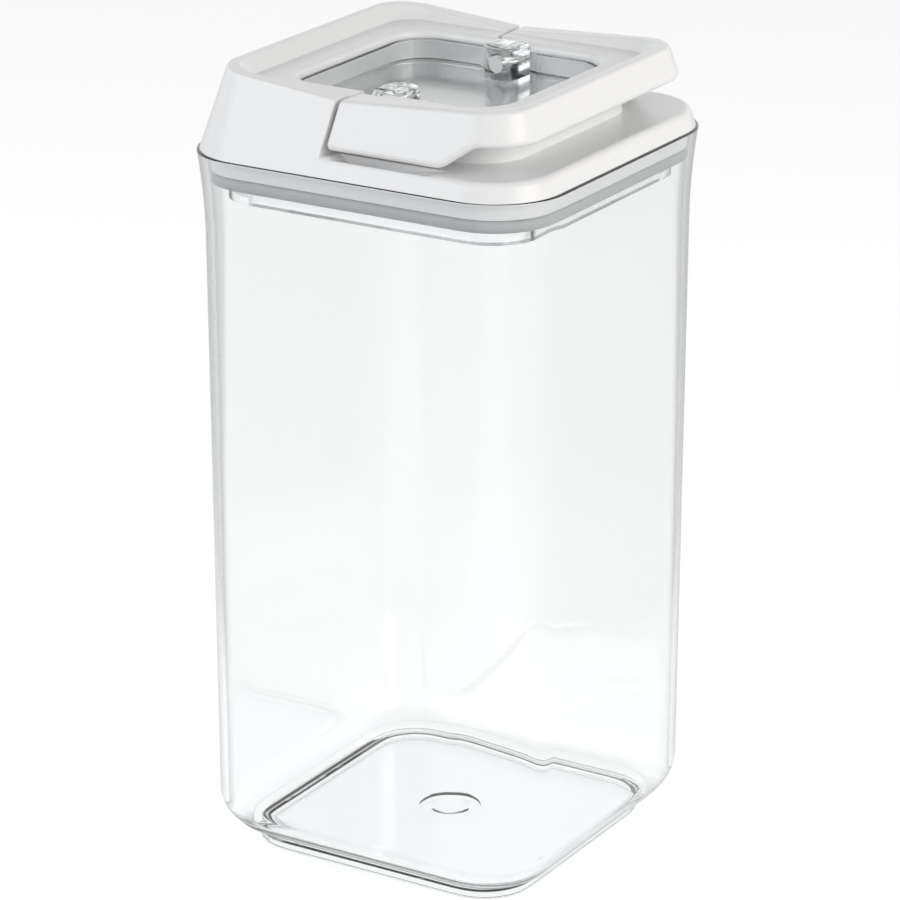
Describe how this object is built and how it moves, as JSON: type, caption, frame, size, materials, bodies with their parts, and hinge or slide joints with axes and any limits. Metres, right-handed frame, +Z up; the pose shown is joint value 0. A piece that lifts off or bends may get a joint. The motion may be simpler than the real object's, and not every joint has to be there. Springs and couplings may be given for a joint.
{
  "type": "vacuum seal canister",
  "caption": "Square clear food canister with a white lid whose flip lever draws a clear plunger up to squeeze a sealing ring against the jar's mouth.",
  "frame": {"origin": "middle of the foot, on the surface the canister stands on", "axes": "+Z up, -Y towards the front face, +X towards the lever's bar"},
  "size_m": [0.1148, 0.1148, 0.2366],
  "materials": {
    "clear_plastic": "clear, polished",
    "white_plastic": "glossy white",
    "seal": "translucent grey silicone",
    "pin_plastic": "plain white plastic"
  },
  "bodies": {
    "jar": {"jar": "clear_plastic"},
    "lid": {"lid_shell": "white_plastic", "gasket": "seal"},
    "plunger": {"plunger": "clear_plastic", "pivot_pin_front": "pin_plastic", "pivot_pin_rear": "pin_plastic"},
    "lever": {"lever": "white_plastic"}
  },
  "joints": [
    {"name": "lid_lift", "type": "slide", "parent": "jar", "child": "lid", "axis": [0, 0, 1], "range_m": [0, 0.08]},
    {"name": "plunger_drop", "type": "slide", "parent": "lid", "child": "plunger", "axis": [0, 0, -1], "range_m": [0, 0.0025], "deforming": ["gasket"]},
    {"name": "lever_flip", "type": "hinge", "parent": "plunger", "child": "lever", "pos_m": [0.001, 0, 0.2278], "axis": [0, -1, 0], "range_deg": [0, 90]}
  ],
  "couplings": [
    {"joint": "plunger_drop", "follows": "lever_flip", "m_per_rad": 0.0015915}
  ]
}
